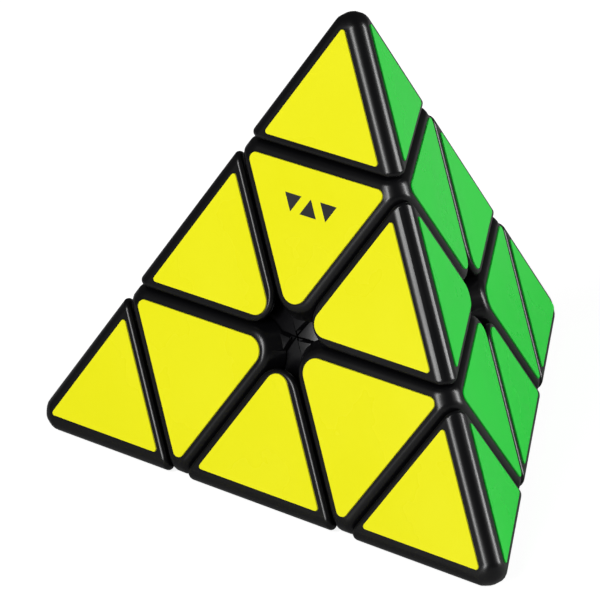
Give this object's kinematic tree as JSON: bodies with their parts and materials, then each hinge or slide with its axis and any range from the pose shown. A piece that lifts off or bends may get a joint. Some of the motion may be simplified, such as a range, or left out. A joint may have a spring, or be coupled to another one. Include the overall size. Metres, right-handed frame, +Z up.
{
  "type": "pyramid twisty puzzle",
  "caption": "Free-standing pyramid twisty puzzle: rounded glossy black tips, centre pieces and edge pieces with flat coloured stickers, turning in corner layers about a sprung core",
  "frame": {"origin": "the middle of the core, where the turning axes meet; it is also the middle of the pyramid", "axes": "+Z up through the top tip, square to the base the puzzle stands on; -Y towards the yellow face; +X towards the right-hand base tip"},
  "size_m": [0.099, 0.0864, 0.0819],
  "materials": {
    "black_plastic": "glossy moulded black ABS with rounded rims",
    "yellow_sticker": "bright yellow vinyl film, satin",
    "green_sticker": "bright green vinyl film, satin",
    "red_sticker": "bright red vinyl film, satin",
    "blue_sticker": "bright blue vinyl film, satin",
    "core_plastic": "matt black nylon",
    "screw_steel": "zinc-plated steel",
    "spring_steel": "drawn spring wire",
    "washer_steel": "stamped steel"
  },
  "bodies": {
    "core": {"core_spider": "core_plastic", "axis_screws": "screw_steel", "axis_springs": "spring_steel", "axis_washers": "washer_steel"},
    "layer_top": {"centre_piece_top": "black_plastic", "sticker_yellow_centre_top": "yellow_sticker", "sticker_green_centre_top": "green_sticker", "sticker_red_centre_top": "red_sticker"},
    "layer_left": {"centre_piece_left": "black_plastic", "sticker_yellow_centre_left": "yellow_sticker", "sticker_red_centre_left": "red_sticker", "sticker_blue_centre_left": "blue_sticker"},
    "layer_right": {"centre_piece_right": "black_plastic", "sticker_yellow_centre_right": "yellow_sticker", "sticker_green_centre_right": "green_sticker", "sticker_blue_centre_right": "blue_sticker"},
    "layer_back": {"centre_piece_back": "black_plastic", "sticker_green_centre_back": "green_sticker", "sticker_red_centre_back": "red_sticker", "sticker_blue_centre_back": "blue_sticker"},
    "tip_top": {"tip_cap_top": "black_plastic", "tip_base_top": "black_plastic", "sticker_yellow_tip_top": "yellow_sticker", "sticker_green_tip_top": "green_sticker", "sticker_red_tip_top": "red_sticker"},
    "tip_left": {"tip_cap_left": "black_plastic", "tip_base_left": "black_plastic", "sticker_yellow_tip_left": "yellow_sticker", "sticker_red_tip_left": "red_sticker", "sticker_blue_tip_left": "blue_sticker"},
    "tip_right": {"tip_cap_right": "black_plastic", "tip_base_right": "black_plastic", "sticker_yellow_tip_right": "yellow_sticker", "sticker_green_tip_right": "green_sticker", "sticker_blue_tip_right": "blue_sticker"},
    "tip_back": {"tip_cap_back": "black_plastic", "tip_base_back": "black_plastic", "sticker_green_tip_back": "green_sticker", "sticker_red_tip_back": "red_sticker", "sticker_blue_tip_back": "blue_sticker"},
    "edge_top_left": {"edge_piece_top_left": "black_plastic", "sticker_yellow_edge_top_left": "yellow_sticker", "sticker_red_edge_top_left": "red_sticker"},
    "edge_top_right": {"edge_piece_top_right": "black_plastic", "sticker_yellow_edge_top_right": "yellow_sticker", "sticker_green_edge_top_right": "green_sticker"},
    "edge_top_back": {"edge_piece_top_back": "black_plastic", "sticker_green_edge_top_back": "green_sticker", "sticker_red_edge_top_back": "red_sticker"},
    "edge_left_right": {"edge_piece_left_right": "black_plastic", "sticker_yellow_edge_left_right": "yellow_sticker", "sticker_blue_edge_left_right": "blue_sticker"},
    "edge_left_back": {"edge_piece_left_back": "black_plastic", "sticker_red_edge_left_back": "red_sticker", "sticker_blue_edge_left_back": "blue_sticker"},
    "edge_right_back": {"edge_piece_right_back": "black_plastic", "sticker_green_edge_right_back": "green_sticker", "sticker_blue_edge_right_back": "blue_sticker"}
  },
  "joints": [
    {"name": "layer_top_turn", "type": "hinge", "parent": "core", "child": "layer_top", "pos_m": [0, 0, 0], "axis": [0, 0, 1], "range_deg": [-120, 120]},
    {"name": "layer_left_turn", "type": "hinge", "parent": "core", "child": "layer_left", "pos_m": [0, 0, 0], "axis": [-0.8165, -0.4714, -0.3333], "range_deg": [-120, 120]},
    {"name": "layer_right_turn", "type": "hinge", "parent": "core", "child": "layer_right", "pos_m": [0, 0, 0], "axis": [0.8165, -0.4714, -0.3333], "range_deg": [-120, 240]},
    {"name": "layer_back_turn", "type": "hinge", "parent": "core", "child": "layer_back", "pos_m": [0, 0, 0], "axis": [0, 0.9428, -0.3333], "range_deg": [-120, 120]},
    {"name": "tip_top_spin", "type": "hinge", "parent": "layer_top", "child": "tip_top", "pos_m": [0, 0, 0], "axis": [0, 0, 1], "continuous": true},
    {"name": "tip_left_spin", "type": "hinge", "parent": "layer_left", "child": "tip_left", "pos_m": [0, 0, 0], "axis": [-0.8165, -0.4714, -0.3333], "continuous": true},
    {"name": "tip_right_spin", "type": "hinge", "parent": "layer_right", "child": "tip_right", "pos_m": [0, 0, 0], "axis": [0.8165, -0.4714, -0.3333], "continuous": true},
    {"name": "tip_back_spin", "type": "hinge", "parent": "layer_back", "child": "tip_back", "pos_m": [0, 0, 0], "axis": [0, 0.9428, -0.3333], "continuous": true},
    {"name": "edge_top_left_turn", "type": "hinge", "parent": "layer_top", "child": "edge_top_left", "pos_m": [0, 0, 0], "axis": [-0.8165, -0.4714, -0.3333], "range_deg": [-120, 120]},
    {"name": "edge_top_right_turn", "type": "hinge", "parent": "layer_top", "child": "edge_top_right", "pos_m": [0, 0, 0], "axis": [0.8165, -0.4714, -0.3333], "range_deg": [-120, 240]},
    {"name": "edge_top_back_turn", "type": "hinge", "parent": "layer_back", "child": "edge_top_back", "pos_m": [0, 0, 0], "axis": [0, 0, 1], "range_deg": [-120, 120]},
    {"name": "edge_left_right_turn", "type": "hinge", "parent": "layer_left", "child": "edge_left_right", "pos_m": [0, 0, 0], "axis": [0.8165, -0.4714, -0.3333], "range_deg": [-120, 240]},
    {"name": "edge_left_back_turn", "type": "hinge", "parent": "layer_left", "child": "edge_left_back", "pos_m": [0, 0, 0], "axis": [0, 0.9428, -0.3333], "range_deg": [-120, 120]},
    {"name": "edge_right_back_turn", "type": "hinge", "parent": "layer_back", "child": "edge_right_back", "pos_m": [0, 0, 0], "axis": [0.8165, -0.4714, -0.3333], "range_deg": [-120, 240]}
  ],
  "couplings": [
    {"joint": "edge_top_left_turn", "follows": "layer_left_turn", "ratio": 1},
    {"joint": "edge_top_right_turn", "follows": "layer_right_turn", "ratio": 1},
    {"joint": "edge_top_back_turn", "follows": "layer_top_turn", "ratio": 1},
    {"joint": "edge_left_right_turn", "follows": "layer_right_turn", "ratio": 1},
    {"joint": "edge_left_back_turn", "follows": "layer_back_turn", "ratio": 1},
    {"joint": "edge_right_back_turn", "follows": "layer_right_turn", "ratio": 1}
  ]
}
